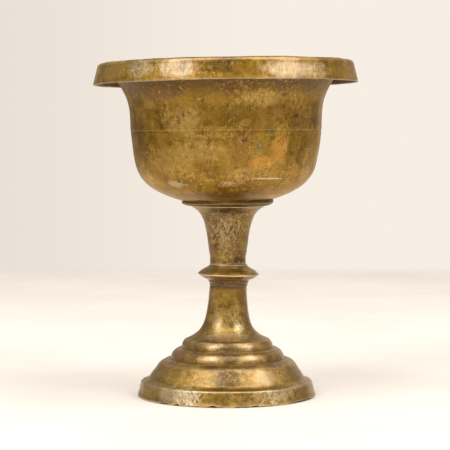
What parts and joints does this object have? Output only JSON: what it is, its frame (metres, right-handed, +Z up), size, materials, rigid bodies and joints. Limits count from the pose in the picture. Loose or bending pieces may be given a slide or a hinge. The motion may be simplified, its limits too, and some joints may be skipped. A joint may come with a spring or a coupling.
{
  "type": "standing oil lamp",
  "caption": "Standing brass oil lamp: a deep bowl with a folded flared lip on a stem with a knop and a stepped hollow foot, clamped on a tie rod.",
  "frame": {"origin": "centre of the foot's underside, on the table", "axes": "+Z up along the lamp's axis, out of the bowl's mouth; the lamp is round, so +X and +Y are free"},
  "size_m": [0.1318, 0.1318, 0.1665],
  "materials": {
    "aged_brass": "aged and hand rubbed, olive-brown patina with lighter worn edges",
    "dark_brass": "dark unpolished patina",
    "turned_brass": "turned, dulled by oil",
    "mild_steel": "dull mild steel with a little rust",
    "leather": "oil-soaked leather, matt"
  },
  "bodies": {
    "root": {"foot": "aged_brass", "knop": "aged_brass", "upper_stem": "aged_brass", "bowl_collar": "dark_brass", "bowl": "aged_brass", "tie_rod": "mild_steel", "foot_washer": "mild_steel", "foot_nut": "mild_steel", "floor_seal": "leather", "floor_washer": "turned_brass", "wick_nut": "turned_brass"}
  },
  "joints": []
}
